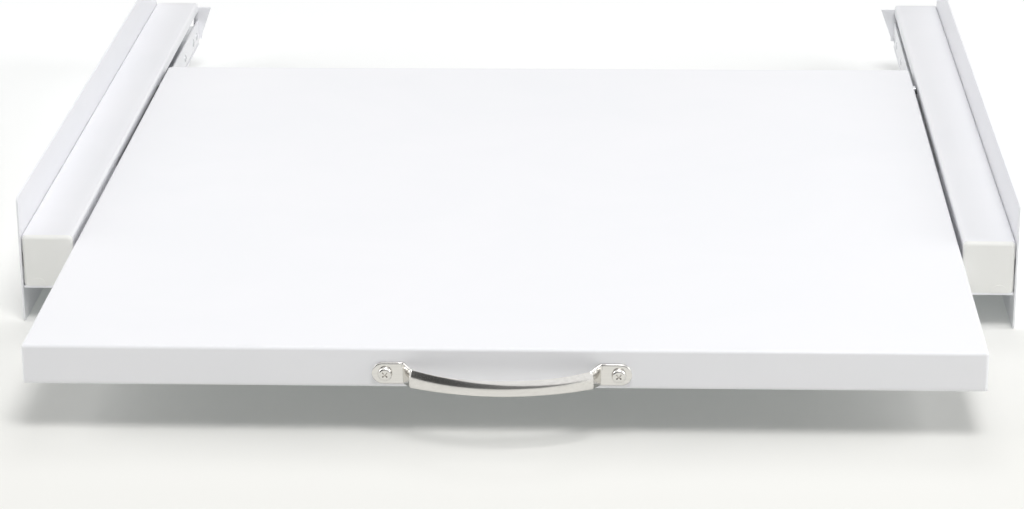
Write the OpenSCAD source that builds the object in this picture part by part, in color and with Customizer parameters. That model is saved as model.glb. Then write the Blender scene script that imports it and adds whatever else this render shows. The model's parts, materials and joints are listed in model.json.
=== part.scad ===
// Stacking kit with a pull-out shelf, for setting a dryer on a washing machine.
// X runs across the kit, Y from the front to the rear, Z up. The origin is the
// middle of the footprint, on the level of the feet of the two side plates.
// Sheet parts are folded from steel sheet, and every fold has its inside radius.

/* [Overall] */
// Width over the outer faces of the two side plates
overall_w = 600; // [570:5:650]
// Depth of the two rails
rail_l = 540; // [500:5:600]
// How far the shelf stands pulled out
pull_out = 166; // [20:1:250]
// Full travel of the shelf, from closed to its stop
travel = 350; // [260:5:370]

/* [Side plates] */
// Thickness of each side plate
plate_t = 1.2; // [1:0.1:2]
// Height of the skirt that hangs below the seat on the washer
skirt_h = 22; // [18:0.5:30]
// Height of the upstand above the deck
upstand_h = 24.5; // [15:0.5:35]
// Corner radius of the side plates
plate_corner_r = 3; // [1:0.5:6]
// Radius of the fixing holes in the skirts
fix_hole_r = 2.25; // [1.5:0.25:3]
// Distance of each fixing hole from the end of its plate
fix_hole_inset = 60; // [30:5:100]

/* [Rails] */
// Sheet thickness of the rails and slide carriers
rail_t = 1.2; // [1:0.1:1.5]
// Width of each rail from the side plate to its inner wall
rail_w = 31.5; // [28:0.5:40]
// Height from the seat on the washer to the deck
rail_h = 33; // [32:0.5:45]
// Height of the folded edges that lie against the side plate
rail_return_h = 11; // [9:0.5:12]
// Outer radius of every fold
fold_r = 2; // [1.8:0.1:2.4]

/* [Front caps] */
// Thickness of the cap in front of the rail
cap_t = 3; // [2:0.5:6]
// Rounding of the cap's edges
cap_r = 2.5; // [1:0.5:4]
// Gap between the cap and the side plate
cap_gap = 0.5; // [0.3:0.1:1]
// Depth of the plug that sits in the rail
plug_l = 16; // [8:1:30]
// Wall of the plug
plug_t = 1.8; // [1.2:0.1:3]

/* [Shelf] */
// Sheet thickness of the shelf
shelf_t = 1.2; // [1:0.1:1.5]
// Gap between the shelf and each rail
side_gap = 2.4; // [2.4:0.1:4]
// How far the shelf lies below the deck
shelf_drop = 2.2; // [1:0.1:3]
// Height of the front lip and of the side flanges
lip_h = 23.1; // [20:0.1:26]
// Depth of the folded edge under the front lip
lip_return = 8; // [4:0.5:10]
// How far the closed shelf stands proud of the rails
lip_proud = 6; // [2:0.5:10]
// Rounding of the front lip's lower corners
lip_corner_r = 3; // [1:0.5:5]
// Height of the stiffener under the shelf
stiffener_h = 9; // [5:0.5:12]
// Width of the stiffener's channel
stiffener_w = 44; // [30:1:80]

/* [Slides] */
// Radius of the two front rollers, under the shelf
roller_r = 8; // [7.5:0.1:8.2]
// Radius of the two rear rollers, inside the rails
rear_roller_r = 6; // [5.5:0.1:6.2]
// Width of each roller
roller_w = 6.5; // [5:0.1:7]
// Radius of the roller axles
axle_r = 2; // [1.5:0.1:2.4]
// Radius of an axle's head and collar
axle_head_r = 4; // [3.5:0.1:5]
// Thickness of an axle's head
axle_head_t = 0.8; // [0.5:0.1:0.9]
// Thickness of an axle's collar
axle_collar_t = 1.2; // [0.8:0.1:1.5]
// Radius of the rear axles' shoulder, which passes through the rail's slot
axle_shoulder_r = 3; // [2.6:0.1:3.2]
// Gap between the deck and the roof of each rear roller's runner
roof_gap = 1.5; // [0.5:0.1:1.6]
// Height of the slot in each rail's inner wall
slot_h = 7; // [6.6:0.1:7.4]
// Sheet thickness of the runners
runner_t = 1.2; // [1:0.1:1.3]
// Depth of the track below the shelf's top sheet
track_drop = 7.5; // [7:0.1:8]
// Distance from the front of a carrier's leg to the axle of its front roller
front_axle_inset = 14; // [10:1:25]
// Distance from the shelf's rear edge to the axles of the rear rollers
rear_axle_inset = 24; // [20:1:30]
// Length of the carriers' legs, which hold the front rollers
leg_l = 70; // [55:5:75]

/* [Tie bars] */
// Width of each tie bar
tie_w = 36; // [24:1:60]
// Height of a tie bar's folded edges
tie_h = 5; // [4:0.5:5]
// Height of the tabs at a tie bar's ends
tie_tab_h = 12; // [10:0.5:14]
// Distance from the rails' front to the middle of the front tie bar
tie_front_inset = 100; // [100:5:150]
// Distance from the rails' rear to the middle of the rear tie bar
tie_rear_inset = 140; // [120:5:170]

/* [Rear stops] */
// Thickness of the rear stops
stop_t = 1.5; // [1:0.1:2.5]
// Height of a stop's wing
stop_h = 22; // [14:0.5:24]
// Width of the wing at its top
stop_top_w = 13; // [9:0.5:18]
// Width of the wing at its foot
stop_foot_w = 5; // [4.5:0.5:8]
// Length of the leg inside the rail
stop_leg = 42; // [30:1:80]

/* [Handle] */
// Distance between the two screws
handle_pitch = 128; // [96:1:192]
// Height of the handle's middle above the lip's lower edge
handle_up = 9; // [8:0.1:11]
// Height of the bow's strap at its waist, in the middle
strap_h = 8.6; // [6:0.1:11]
// Thickness of the strap
strap_t = 2; // [1.5:0.1:3]
// Height of the screwed tabs
tab_h = 12.5; // [11:0.1:14]
// Distance from a screw to the tab's inner bend
tab_in = 11.5; // [9:0.5:16]
// How far the bow stands out from the lip
bow_out = 24.5; // [20:0.5:35]
// How far the bow's ends stand out from the lip
bow_end_out = 11.5; // [8:0.5:14]

/* [Fasteners] */
// Radius of the rivets
rivet_r = 1.6; // [1.2:0.1:1.8]
// Radius of the rivet heads
rivet_head_r = 3; // [2.2:0.1:3.2]
// Height of the rivet heads
rivet_head_h = 0.8; // [0.5:0.1:1]
// Distance of the end rivets from the end of a rail or runner
rivet_inset = 60; // [40:1:62]
// Radius of the handle screws' shanks
screw_r = 1.96; // [1.5:0.02:2.4]
// Radius of the handle screws' heads
screw_head_r = 4; // [3.4:0.1:5]
// Height of the handle screws' heads
screw_head_h = 2.6; // [1.8:0.1:3.2]
// Width of the nuts across their flats
nut_flats = 7; // [6:0.1:8]
// Thickness of the nuts
nut_t = 3.2; // [2:0.1:4]

/* [Hidden] */
$fn = 48;

// Steps in which a fold turns
fold_steps = 6;
// Radial play of a hole round a rivet, an axle or a roller's journal
play = 0.05;
// Play between the parts that slide past each other
slide_play = 0.8;
// Play at each side of a roller, on its axle
end_play = 0.1;
// Sheet left round a hole or past a rivet's head
margin = 1;
// How far a cutting shape runs past what it cuts
over = 1;

// Levels, from the feet up
seat_z = skirt_h;
carrier_top_z = seat_z + rail_t;
deck_z = seat_z + rail_h;
plate_top_z = deck_z + upstand_h;
shelf_z = deck_z - shelf_drop;
shelf_under_z = shelf_z - shelf_t;
lip_foot_z = shelf_z - lip_h;
handle_z = lip_foot_z + handle_up;

// The rear rollers' runners, hung under the deck inside the rails
fixed_roof_z = deck_z - rail_t - roof_gap - runner_t;
rear_axle_z = fixed_roof_z - slide_play / 2 - rear_roller_r;
fixed_floor_z = rear_axle_z - rear_roller_r - play;

// The tracks on the shelf, over the front rollers
track_top_z = shelf_under_z - track_drop;
track_z = track_top_z - runner_t;
front_axle_z = track_z - play - roller_r;
leg_top_z = front_axle_z + axle_head_r + 2 * margin;
shelf_runner_foot_z = lip_foot_z + margin;
rear_lip_foot_z = track_top_z + slide_play;

// Places across the kit, on the right-hand side
half_w = overall_w / 2;
plate_in_x = half_w - plate_t;
rail_in_x = plate_in_x - rail_w;
shelf_x = rail_in_x - side_gap;
flange_in_x = shelf_x - shelf_t;
runner_face_x = flange_in_x - runner_t;
roller_bay = slide_play + axle_head_t + 2 * end_play + roller_w + axle_collar_t;
leg_face_x = runner_face_x - roller_bay;
leg_in_x = leg_face_x - rail_t;
front_roller_x = leg_face_x + axle_collar_t + end_play;
wall_x = rail_in_x + rail_t;
hanger_face_x = wall_x + runner_t;
rear_roller_x = hanger_face_x + margin;
web_face_x = rear_roller_x + roller_w + end_play + axle_head_t + slide_play;

// Places along the kit, from the front faces of the rails
stop_gap = 0.3;
stop_y = rail_l + stop_gap;
closing_play = 0.5;
shelf_l = stop_y - closing_play + lip_proud;
shelf_front_y = -lip_proud - pull_out;
shelf_rear_y = shelf_front_y + shelf_l;
leg_front_gap = 5;
front_axle_y = leg_front_gap + front_axle_inset;
rear_axle_y = shelf_rear_y - rear_axle_inset;
shelf_runner_y = shelf_front_y + lip_return + margin;
shelf_runner_end_y = rear_axle_y - axle_head_r - 2 * margin;
open_axle_y = rear_axle_y + pull_out - travel;
out_stop_h = rear_roller_r / 2;
out_stop_reach = sqrt(pow(rear_roller_r, 2) - pow(rear_roller_r - out_stop_h, 2));
out_stop_y = open_axle_y - out_stop_reach - slide_play;
slot_front_y = open_axle_y - axle_shoulder_r - 2 * margin;
runner_lead = 12;
runner_front_y = slot_front_y - runner_lead;
runner_rear_gap = 8;
runner_rear_y = rail_l - runner_rear_gap;

// The handle's bow, from the lip's front face
bow_face_y = shelf_front_y - bow_out;
bow_end_x = handle_pitch / 2 - tab_in;
bow_rise = bow_out - bow_end_out;
bow_r = (pow(bow_end_x, 2) + pow(bow_rise, 2)) / (2 * bow_rise);
bow_half_angle = asin(bow_end_x / bow_r);
bow_steps = 18;

// The whole kit is centred on its footprint
centre_y = (bow_face_y + stop_y + stop_t) / 2;

// Colours
WHITE = [0.95, 0.95, 0.96];
CAP_WHITE = [0.90, 0.90, 0.88];
ZINC = [0.72, 0.73, 0.74];
NYLON = [0.93, 0.93, 0.90];
NICKEL = [0.78, 0.76, 0.72];

// Vectors for folded sheet

function unit(v) = v / norm(v);
function left_of(v) = [-v[1], v[0]];
function turned(v, a) = [v[0] * cos(a) - v[1] * sin(a), v[0] * sin(a) + v[1] * cos(a)];
function turn_between(a, b) = atan2(a[0] * b[1] - a[1] * b[0], a[0] * b[0] + a[1] * b[1]);

// Points and normals round the fold at corner i of a path, with the bend's middle radius r
function fold_at(p, i, r) =
    let (
        d = unit(p[i] - p[i - 1]),
        a = turn_between(d, unit(p[i + 1] - p[i])),
        start = p[i] - d * r * tan(abs(a) / 2),
        centre = start + left_of(d) * sign(a) * r
    )
    [for (k = [0:fold_steps])
        [centre + turned(start - centre, a * k / fold_steps), turned(left_of(d), a * k / fold_steps)]];

function folded(p, r) =
    let (last = len(p) - 1)
    concat(
        [[p[0], left_of(unit(p[1] - p[0]))]],
        [for (i = [1:last - 1]) each fold_at(p, i, r)],
        [[p[last], left_of(unit(p[last] - p[last - 1]))]]
    );

// Section of a sheet of thickness t whose middle follows the path p, with outer fold radius r
module sheet(p, t, r = fold_r) {
    line = folded(p, r - t / 2);
    one_side = [for (q = line) q[0] + q[1] * t / 2];
    other_side = [for (i = [len(line) - 1:-1:0]) line[i][0] - line[i][1] * t / 2];
    polygon(concat(one_side, other_side));
}

// Frames for drawing

// Moves a piece from the rails' front faces to the kit's own origin
module place() {
    translate([0, -centre_y, 0]) children();
}

module mirrored() {
    mirror([1, 0, 0]) children();
}

module both_sides() {
    children();
    mirrored() children();
}

// Extrudes an X-Z section from y0 to y1
module along_y(y0, y1) {
    translate([0, y1, 0]) rotate([90, 0, 0]) linear_extrude(y1 - y0) children();
}

// Extrudes a Y-Z section from x0 to x1
module along_x(x0, x1) {
    translate([x0, 0, 0]) rotate([90, 0, 90]) linear_extrude(x1 - x0) children();
}

// A round bar along X from x0 to x1
module x_bar(x0, x1, y, z, r) {
    translate([x0, y, z]) rotate([0, 90, 0]) cylinder(h = x1 - x0, r = r);
}

// A round bar along Y from y0 to y1
module y_bar(y0, y1, x, z, r) {
    translate([x, y0, z]) rotate([-90, 0, 0]) cylinder(h = y1 - y0, r = r);
}

module rounded_rect(w, h, r) {
    translate([r, 0]) square([w - 2 * r, h]);
    translate([0, r]) square([w, h - 2 * r]);
    for (x = [r, w - r], y = [r, h - r]) translate([x, y]) circle(r);
}

// What is cut away to round a corner at the origin, in the first quadrant
module corner_cut(r) {
    difference() {
        translate([-1, -1]) square(r + 1);
        translate([r, r]) circle(r);
    }
}

// A rivet along X: its head starts at x0 and rises away from x1, where its shank ends flush
module x_rivet(x0, x1, y, z) {
    side = sign(x0 - x1);
    x_bar(min(x0, x1), max(x0, x1), y, z, rivet_r);
    translate([x0, y, z]) rotate([0, side * 90, 0]) rivet_head();
}

module rivet_head() {
    ball_r = (pow(rivet_head_r, 2) + pow(rivet_head_h, 2)) / (2 * rivet_head_h);
    rotate_extrude() intersection() {
        translate([0, rivet_head_h - ball_r]) circle(ball_r, $fn = 96);
        square([rivet_head_r, rivet_head_h]);
    }
}

// Places of the rear stops and of the rivets

function spread(a, b) = [a, (a + b) / 2, b];
stop_leg_y = rail_l - stop_leg;
stop_rivet_inset = 12;
stop_rivet_y = [stop_leg_y + stop_rivet_inset, rail_l - stop_rivet_inset];
stop_top_gap = 2.5;
stop_foot_z = deck_z - rail_t - stop_top_gap - stop_h;
hanger_foot_z = carrier_top_z + rail_t + 2 * margin;
stop_leg_top_z = fixed_floor_z - runner_t - margin;
stop_rivet_z = (hanger_foot_z + stop_leg_top_z) / 2;
runner_rivet_inset = 30;
rail_rivet_y = spread(rivet_inset, rail_l - rivet_inset);
plate_rivet_z = deck_z - (rail_return_h + fold_r) / 2;
runner_rivet_y = spread(runner_front_y + runner_rivet_inset, stop_leg_y - runner_rivet_inset);
runner_rivet_z = stop_rivet_z;
shelf_rivet_y = spread(shelf_runner_y + rivet_inset, shelf_runner_end_y - rivet_inset);
shelf_rivet_z = (shelf_runner_foot_z + track_z) / 2;
tie_rivet_z = seat_z + tie_tab_h - rivet_head_r - margin;
tie_rivet_dy = tie_w / 4;
tie_places = [tie_front_inset, rail_l - tie_rear_inset];
fix_hole_y = [fix_hole_inset, rail_l - fix_hole_inset];

// Side plates

module side_plate() {
    difference() {
        along_x(plate_in_x, half_w) rounded_rect(rail_l, plate_top_z, plate_corner_r);
        for (y = rail_rivet_y) x_bar(plate_in_x - over, half_w + over, y, plate_rivet_z, rivet_r + play);
        for (y = fix_hole_y) x_bar(plate_in_x - over, half_w + over, y, skirt_h / 2, fix_hole_r);
    }
}

module left_side_plate() {
    color(WHITE) place() mirrored() side_plate();
}

module right_side_plate() {
    color(WHITE) place() side_plate();
}

// Rails, each a folded box whose open side the side plate closes

module rail() {
    half = rail_t / 2;
    outer = plate_in_x - half;
    inner = rail_in_x + half;
    low = carrier_top_z + half;
    high = deck_z - half;
    difference() {
        along_y(cap_t, rail_l) sheet([
            [outer, deck_z - rail_return_h],
            [outer, high],
            [inner, high],
            [inner, low],
            [outer, low],
            [outer, carrier_top_z + rail_return_h]
        ], rail_t);
        for (y = rail_rivet_y) x_bar(plate_in_x - rail_t - over, half_w, y, plate_rivet_z, rivet_r + play);
        wall_holes();
        // The slot that the rear rollers' axles pass through, open at the rear
        translate([rail_in_x - over, slot_front_y, rear_axle_z - slot_h / 2])
            cube([rail_t + 2 * over, rail_l, slot_h]);
    }
}

// Rivet holes in a rail's inner wall and in what is riveted to it
module wall_holes() {
    for (y = concat(runner_rivet_y, stop_rivet_y))
        x_bar(rail_in_x - over, hanger_face_x + stop_t + over, y, runner_rivet_z, rivet_r + play);
    for (y = tie_places, dy = [-1, 1])
        x_bar(rail_in_x - rail_t - over, hanger_face_x + over, y + dy * tie_rivet_dy, tie_rivet_z, rivet_r + play);
}

module left_rail() {
    color(WHITE) place() mirrored() rail();
}

module right_rail() {
    color(WHITE) place() rail();
}

// Front caps

cap_w = rail_w - cap_gap;
cap_h = deck_z - carrier_top_z;
plug_gap = 0.15;

module cap_slab(y0, y1, inset) {
    along_y(y0, y1) translate([rail_in_x + inset, carrier_top_z + inset])
        rounded_rect(cap_w - 2 * inset, cap_h - 2 * inset, cap_r);
}

module front_cap() {
    plug_in = rail_t + plug_gap;
    plug_w = rail_w - 2 * plug_in;
    plug_h = cap_h - 2 * plug_in;
    dome = cap_t / 2;
    hull($fn = 24) {
        cap_slab(dome, cap_t, 0);
        cap_slab(dome / 3, dome, dome / 4);
        cap_slab(0, dome / 3, dome);
    }
    along_y(cap_t, cap_t + plug_l) translate([rail_in_x + plug_in, carrier_top_z + plug_in]) difference() {
        square([plug_w, plug_h]);
        translate([plug_t, plug_t]) square([plug_w - 2 * plug_t, plug_h - 2 * plug_t]);
        // The plug's corners clear the insides of the rail's folds
        for (x = [0, plug_w], z = [0, plug_h]) translate([x, z]) rotate(45) square(fold_r, center = true);
    }
}

module left_front_cap() {
    color(CAP_WHITE) place() mirrored() front_cap();
}

module right_front_cap() {
    color(CAP_WHITE) place() front_cap();
}

// Slide carriers, each a ledge under its rail with a leg in front that holds the front roller

module slide_carrier() {
    half = rail_t / 2;
    difference() {
        along_y(0, rail_l) sheet([
            [plate_in_x - cap_gap, seat_z + half],
            [leg_in_x + half, seat_z + half],
            [leg_in_x + half, leg_top_z]
        ], rail_t);
        // The leg starts behind the ledge's front end
        translate([leg_in_x - over, -over, carrier_top_z])
            cube([fold_r + 2 * over, leg_front_gap + over, leg_top_z]);
        // Behind the leg the ledge is as wide as the rail
        translate([leg_in_x - over, leg_front_gap + leg_l, seat_z - over])
            cube([rail_in_x - leg_in_x + over, rail_l, leg_top_z]);
        x_bar(leg_in_x - over, leg_face_x + over, front_axle_y, front_axle_z, axle_r + play);
    }
}

module left_slide_carrier() {
    color(WHITE) place() mirrored() slide_carrier();
}

module right_slide_carrier() {
    color(WHITE) place() slide_carrier();
}

// Fixed runners, each hung on its rail's inner wall and open towards the slot in it

module fixed_runner() {
    half = runner_t / 2;
    hanger = wall_x + half;
    web = web_face_x + half;
    low = fixed_floor_z - half;
    high = fixed_roof_z + half;
    difference() {
        union() {
            along_y(runner_front_y, runner_rear_y) sheet([
                [hanger, hanger_foot_z],
                [hanger, low],
                [web, low],
                [web, high],
                [rear_roller_x, high]
            ], runner_t);
            // Out-stop for the rear roller
            translate([rear_roller_x + margin, out_stop_y - runner_t, low])
                cube([roller_w - margin, runner_t, out_stop_h + half]);
        }
        wall_holes();
    }
}

module left_fixed_runner() {
    color(ZINC) place() mirrored() fixed_runner();
}

module right_fixed_runner() {
    color(ZINC) place() fixed_runner();
}

// Rear stops

module rear_stop() {
    difference() {
        union() {
            translate([hanger_face_x, stop_leg_y, hanger_foot_z])
                cube([stop_t, stop_leg + stop_gap + stop_t, stop_leg_top_z - hanger_foot_z]);
            along_y(stop_y, stop_y + stop_t) polygon([
                [hanger_face_x + stop_t, hanger_foot_z],
                [hanger_face_x + stop_t, stop_leg_top_z],
                [wall_x + stop_t, stop_foot_z + stop_h],
                [wall_x + stop_t - stop_top_w, stop_foot_z + stop_h],
                [wall_x + stop_t - stop_foot_w, stop_foot_z],
                [wall_x + stop_t - stop_foot_w, hanger_foot_z]
            ]);
        }
        wall_holes();
    }
}

module left_rear_stop() {
    color(WHITE) place() mirrored() rear_stop();
}

module right_rear_stop() {
    color(WHITE) place() rear_stop();
}

// Tie bars between the rails, as shallow channels with a tab at each end

module tie_bar(y) {
    half = rail_t / 2;
    low = seat_z + half;
    difference() {
        union() {
            along_x(-rail_in_x + fold_r, rail_in_x - fold_r) sheet([
                [y - tie_w / 2 + half, seat_z + tie_h],
                [y - tie_w / 2 + half, low],
                [y + tie_w / 2 - half, low],
                [y + tie_w / 2 - half, seat_z + tie_h]
            ], rail_t);
            along_y(y - tie_w / 2 + fold_r, y + tie_w / 2 - fold_r) sheet([
                [-rail_in_x + half, seat_z + tie_tab_h],
                [-rail_in_x + half, low],
                [rail_in_x - half, low],
                [rail_in_x - half, seat_z + tie_tab_h]
            ], rail_t);
        }
        both_sides() wall_holes();
    }
}

module front_tie_bar() {
    color(WHITE) place() tie_bar(tie_places[0]);
}

module rear_tie_bar() {
    color(WHITE) place() tie_bar(tie_places[1]);
}

// Rivets of the frame

module plate_rivets() {
    color(ZINC) place() both_sides()
        for (y = rail_rivet_y) x_rivet(half_w, plate_in_x - rail_t, y, plate_rivet_z);
}

module runner_rivets() {
    color(ZINC) place() both_sides()
        for (y = runner_rivet_y) x_rivet(rail_in_x, hanger_face_x, y, runner_rivet_z);
}

// The rear tie bar's rivets go through the fixed runners too
module tie_rivets() {
    color(ZINC) place() both_sides()
        for (y = tie_places, dy = [-1, 1])
            x_rivet(rail_in_x - rail_t, y > runner_front_y ? hanger_face_x : wall_x,
                    y + dy * tie_rivet_dy, tie_rivet_z);
}

module stop_rivets() {
    color(ZINC) place() both_sides()
        for (y = stop_rivet_y)
            x_rivet(rail_in_x, hanger_face_x + stop_t, y, stop_rivet_z);
}

// Rollers and their axles

module roller(x, y, z, r) {
    edge = 0.6;
    translate([x, y, z]) rotate([0, 90, 0]) rotate_extrude() polygon([
        [axle_r + play, 0],
        [r - edge, 0],
        [r, edge],
        [r, roller_w - edge],
        [r - edge, roller_w],
        [axle_r + play, roller_w]
    ]);
}

module front_roller() {
    roller(front_roller_x, front_axle_y, front_axle_z, roller_r);
}

module rear_roller() {
    roller(rear_roller_x, rear_axle_y, rear_axle_z, rear_roller_r);
}

module front_axle() {
    head_x = front_roller_x + roller_w + end_play;
    x_bar(leg_in_x, head_x, front_axle_y, front_axle_z, axle_r);
    x_bar(head_x, head_x + axle_head_t, front_axle_y, front_axle_z, axle_head_r);
    x_bar(leg_face_x, leg_face_x + axle_collar_t, front_axle_y, front_axle_z, axle_head_r);
    x_bar(leg_in_x - axle_head_t, leg_in_x, front_axle_y, front_axle_z, axle_head_r);
}

module rear_axle() {
    head_x = rear_roller_x + roller_w + end_play;
    x_bar(flange_in_x - axle_head_t, flange_in_x, rear_axle_y, rear_axle_z, axle_head_r);
    x_bar(flange_in_x, head_x, rear_axle_y, rear_axle_z, axle_r);
    x_bar(shelf_x, rear_roller_x - end_play, rear_axle_y, rear_axle_z, axle_shoulder_r);
    x_bar(head_x, head_x + axle_head_t, rear_axle_y, rear_axle_z, axle_head_r);
}

module left_front_axle() {
    color(ZINC) place() mirrored() front_axle();
}

module right_front_axle() {
    color(ZINC) place() front_axle();
}

module left_front_roller() {
    color(NYLON) place() mirrored() front_roller();
}

module right_front_roller() {
    color(NYLON) place() front_roller();
}

module left_rear_roller() {
    color(NYLON) place() mirrored() rear_roller();
}

module right_rear_roller() {
    color(NYLON) place() rear_roller();
}

module left_rear_axle() {
    color(ZINC) place() mirrored() rear_axle();
}

module right_rear_axle() {
    color(ZINC) place() rear_axle();
}

// Shelf, folded down on four sides, with open corners

corner_gap = fold_r + 0.5 * margin;
screw_hole_r = screw_r + 0.2;
stiffener_foot_w = 14;
stiffener_x = leg_in_x - 8 * margin;

module shelf_panel() {
    color(WHITE) place() difference() {
        union() {
            panel_across();
            panel_along();
        }
        screw_holes(shelf_front_y, shelf_front_y + shelf_t);
        both_sides() for (y = shelf_rivet_y)
            x_bar(flange_in_x - over, shelf_x + over, y, shelf_rivet_z, rivet_r + play);
        both_sides() x_bar(flange_in_x - over, shelf_x + over, rear_axle_y, rear_axle_z, axle_r + play);
        both_sides() along_y(shelf_front_y - over, shelf_front_y + fold_r)
            translate([shelf_x - corner_gap, lip_foot_z]) mirror([1, 0]) corner_cut(lip_corner_r);
    }
}

// The top with its two side flanges
module panel_across() {
    half = shelf_t / 2;
    along_y(shelf_front_y + corner_gap, shelf_rear_y - corner_gap) sheet([
        [-shelf_x + half, lip_foot_z],
        [-shelf_x + half, shelf_z - half],
        [shelf_x - half, shelf_z - half],
        [shelf_x - half, lip_foot_z]
    ], shelf_t);
}

// The top with its front lip and its low rear edge
module panel_along() {
    half = shelf_t / 2;
    along_x(-shelf_x + corner_gap, shelf_x - corner_gap) sheet([
        [shelf_front_y + lip_return, lip_foot_z + half],
        [shelf_front_y + half, lip_foot_z + half],
        [shelf_front_y + half, shelf_z - half],
        [shelf_rear_y - half, shelf_z - half],
        [shelf_rear_y - half, rear_lip_foot_z]
    ], shelf_t);
}

module shelf_stiffener() {
    half = shelf_t / 2;
    y = shelf_front_y + shelf_l / 2;
    foot = stiffener_w / 2 + stiffener_foot_w;
    top = shelf_under_z - half;
    low = shelf_under_z - stiffener_h + half;
    color(WHITE) place() along_x(-stiffener_x, stiffener_x) sheet([
        [y - foot, top],
        [y - stiffener_w / 2 + half, top],
        [y - stiffener_w / 2 + half, low],
        [y + stiffener_w / 2 - half, low],
        [y + stiffener_w / 2 - half, top],
        [y + foot, top]
    ], shelf_t);
}

// Shelf runners, whose flange is the track over the front rollers

runner_top_gap = 3;

module shelf_runner() {
    half = runner_t / 2;
    web = flange_in_x - half;
    edge_x = front_roller_x - end_play;
    difference() {
        along_y(shelf_runner_y, shelf_runner_end_y) sheet([
            [web, shelf_runner_foot_z],
            [web, track_z + half],
            [edge_x, track_z + half],
            [edge_x, shelf_under_z - runner_top_gap]
        ], runner_t);
        for (y = shelf_rivet_y)
            x_bar(runner_face_x - over, flange_in_x + over, y, shelf_rivet_z, rivet_r + play);
    }
}

module left_shelf_runner() {
    color(ZINC) place() mirrored() shelf_runner();
}

module right_shelf_runner() {
    color(ZINC) place() shelf_runner();
}

module shelf_rivets() {
    color(ZINC) place() both_sides()
        for (y = shelf_rivet_y) x_rivet(shelf_x, runner_face_x, y, shelf_rivet_z);
}

// Handle

// The two holes for the handle's screws, through a sheet from y0 to y1
module screw_holes(y0, y1) {
    for (side = [-1, 1])
        y_bar(y0 - over, y1 + over, side * handle_pitch / 2, handle_z, screw_hole_r);
}

// Middle line of the strap: a tab, a leg, the bow's arc, a leg and a tab
function bow_line(half) =
    let (
        arc_y = bow_face_y + bow_r,
        mid_r = bow_r - half,
        step = bow_half_angle / bow_steps * 2,
        arc = [for (k = [1:bow_steps - 1]) let (a = k * step - bow_half_angle)
            [mid_r * sin(a), arc_y - mid_r * cos(a)]],
        end_y = shelf_front_y - bow_end_out + half,
        tab_x = bow_end_x + tab_in - 1
    )
    concat(
        [[-tab_x, shelf_front_y - half], [-bow_end_x, shelf_front_y - half], [-bow_end_x + 1, end_y]],
        arc,
        [[bow_end_x - 1, end_y], [bow_end_x, shelf_front_y - half], [tab_x, shelf_front_y - half]]
    );

module handle_bow() {
    half = strap_t / 2;
    color(NICKEL) place() difference() {
        union() {
            translate([0, 0, handle_z - tab_h / 2]) linear_extrude(tab_h)
                sheet(bow_line(half), strap_t, strap_t * 1.1);
            both_sides() along_y(shelf_front_y - strap_t, shelf_front_y)
                translate([bow_end_x, handle_z - tab_h / 2]) handle_tab();
        }
        screw_holes(shelf_front_y - strap_t, shelf_front_y);
        waist_cuts();
    }
}

// Two wide rounds that narrow the strap from the tabs' height at the bow's ends to its waist
module waist_cuts() {
    rise = (tab_h - strap_h) / 2;
    waist_r = (pow(bow_end_x, 2) + pow(rise, 2)) / (2 * rise);
    for (side = [-1, 1])
        translate([0, bow_face_y - over, handle_z + side * (waist_r + strap_h / 2)])
        rotate([-90, 0, 0]) cylinder(h = bow_out, r = waist_r, $fn = 720);
}

// Outline of a tab, square at the bend and round at its end
module handle_tab() {
    square([tab_in + 1, tab_h]);
    translate([tab_in + 1, tab_h / 2]) circle(tab_h / 2);
}

module handle_screws() {
    color(NICKEL) place() for (side = [-1, 1])
        translate([side * handle_pitch / 2, shelf_front_y - strap_t, handle_z])
        rotate([90, 0, 0]) pan_screw();
}

screw_tip = 1.5;
recess_h = 1.5;

// A pan-head screw with its head up and a cross recess
module pan_screw() {
    shank_l = strap_t + shelf_t + nut_t + screw_tip;
    rim_h = screw_head_h * 0.45;
    dome_h = screw_head_h - rim_h;
    ball_r = (pow(screw_head_r, 2) + pow(dome_h, 2)) / (2 * dome_h);
    slot_l = screw_head_r * 1.1;
    slot_w = screw_head_r * 0.24;
    translate([0, 0, -shank_l]) cylinder(h = shank_l + 0.1, r = screw_r);
    difference() {
        rotate_extrude() {
            square([screw_head_r, rim_h]);
            intersection() {
                translate([0, screw_head_h - ball_r]) circle(ball_r, $fn = 96);
                square([screw_head_r, screw_head_h]);
            }
        }
        for (a = [45, 135]) rotate(a)
            translate([-slot_l / 2, -slot_w / 2, screw_head_h - recess_h])
            cube([slot_l, slot_w, recess_h + over]);
    }
}

module handle_nuts() {
    color(ZINC) place() for (side = [-1, 1])
        translate([side * handle_pitch / 2, shelf_front_y + shelf_t, handle_z]) rotate([-90, 0, 0])
        difference() {
            cylinder(h = nut_t, r = nut_flats / sqrt(3), $fn = 6);
            translate([0, 0, -over]) cylinder(h = nut_t + 2 * over, r = screw_r + play);
        }
}

left_side_plate();
right_side_plate();
left_rail();
right_rail();
left_front_cap();
right_front_cap();
left_slide_carrier();
right_slide_carrier();
left_fixed_runner();
right_fixed_runner();
left_rear_stop();
right_rear_stop();
front_tie_bar();
rear_tie_bar();
plate_rivets();
runner_rivets();
tie_rivets();
stop_rivets();
left_front_axle();
right_front_axle();
left_front_roller();
right_front_roller();
left_rear_roller();
right_rear_roller();
shelf_panel();
shelf_stiffener();
left_shelf_runner();
right_shelf_runner();
left_rear_axle();
right_rear_axle();
shelf_rivets();
handle_bow();
handle_screws();
handle_nuts();
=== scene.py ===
"""Looks of a stacking kit with a pull-out shelf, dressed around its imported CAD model.

Folded sheets and nuts keep their CAD forms, with eased edges. The front caps, the handle, its
screws, the rollers, the axles and the rivets are finer pieces. Every piece stands for its CAD
node.
"""

from __future__ import annotations

import json
import logging
import math
from dataclasses import dataclass
from enum import Enum
from typing import Iterable, NamedTuple, Sequence

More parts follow.
